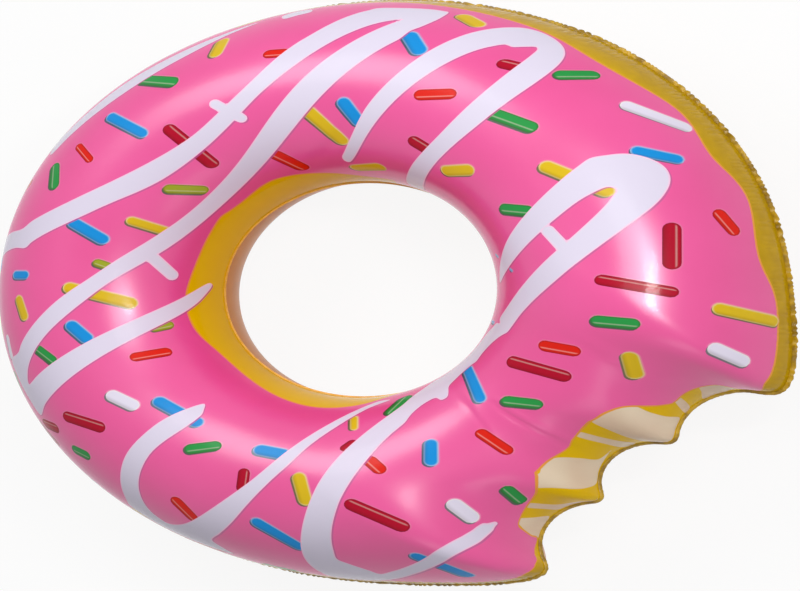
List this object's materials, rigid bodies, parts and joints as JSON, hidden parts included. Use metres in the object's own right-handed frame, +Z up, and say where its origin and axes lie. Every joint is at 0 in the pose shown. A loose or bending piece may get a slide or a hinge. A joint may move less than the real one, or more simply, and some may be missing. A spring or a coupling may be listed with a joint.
{
  "type": "donut pool float",
  "caption": "Inflatable ring pool float shaped like an iced ring doughnut with a bite out of its rim, welded from two printed films, with a push-in valve and plug.",
  "frame": {"origin": "under the middle of the hole, at the height of the surface that the float rests on", "axes": "+Z up through the hole, +X to the right and +Y to the top of the pictured face, with the bite towards +X and -Y"},
  "size_m": [1.2289, 1.2169, 0.3928],
  "materials": {
    "frosting_print": "glossy pink printed film with icing lines and sprinkles",
    "dough_print": "glossy golden printed film",
    "welded_edge": "glossy, pressed and puckered double film",
    "milky_pvc": "satin, slightly translucent soft moulding"
  },
  "bodies": {
    "ring": {"top_film": "frosting_print", "bottom_film": "dough_print", "outer_weld": "welded_edge", "inner_weld": "welded_edge", "valve_flange": "milky_pvc", "valve_dish": "milky_pvc"},
    "stem": {"valve_stem": "milky_pvc", "plug_strap": "milky_pvc"},
    "plug": {"valve_plug": "milky_pvc"},
    "flap": {"check_flap": "milky_pvc"}
  },
  "joints": [
    {"name": "stem_pull", "type": "slide", "parent": "ring", "child": "stem", "axis": [-0.8566, -0.2701, -0.4396], "range_m": [0, 0.018], "deforming": ["valve_dish"]},
    {"name": "plug_swing", "type": "hinge", "parent": "stem", "child": "plug", "pos_m": [-0.55868, -0.17615, 0.11425], "axis": [-0.3007, 0.9537, 0], "range_deg": [0, 150], "deforming": ["plug_strap"]},
    {"name": "flap_open", "type": "hinge", "parent": "stem", "child": "flap", "pos_m": [-0.53866, -0.16984, 0.10571], "axis": [-0.3007, 0.9537, 0], "range_deg": [0, 60], "stiffness_Nm_per_rad": 0.0004}
  ]
}
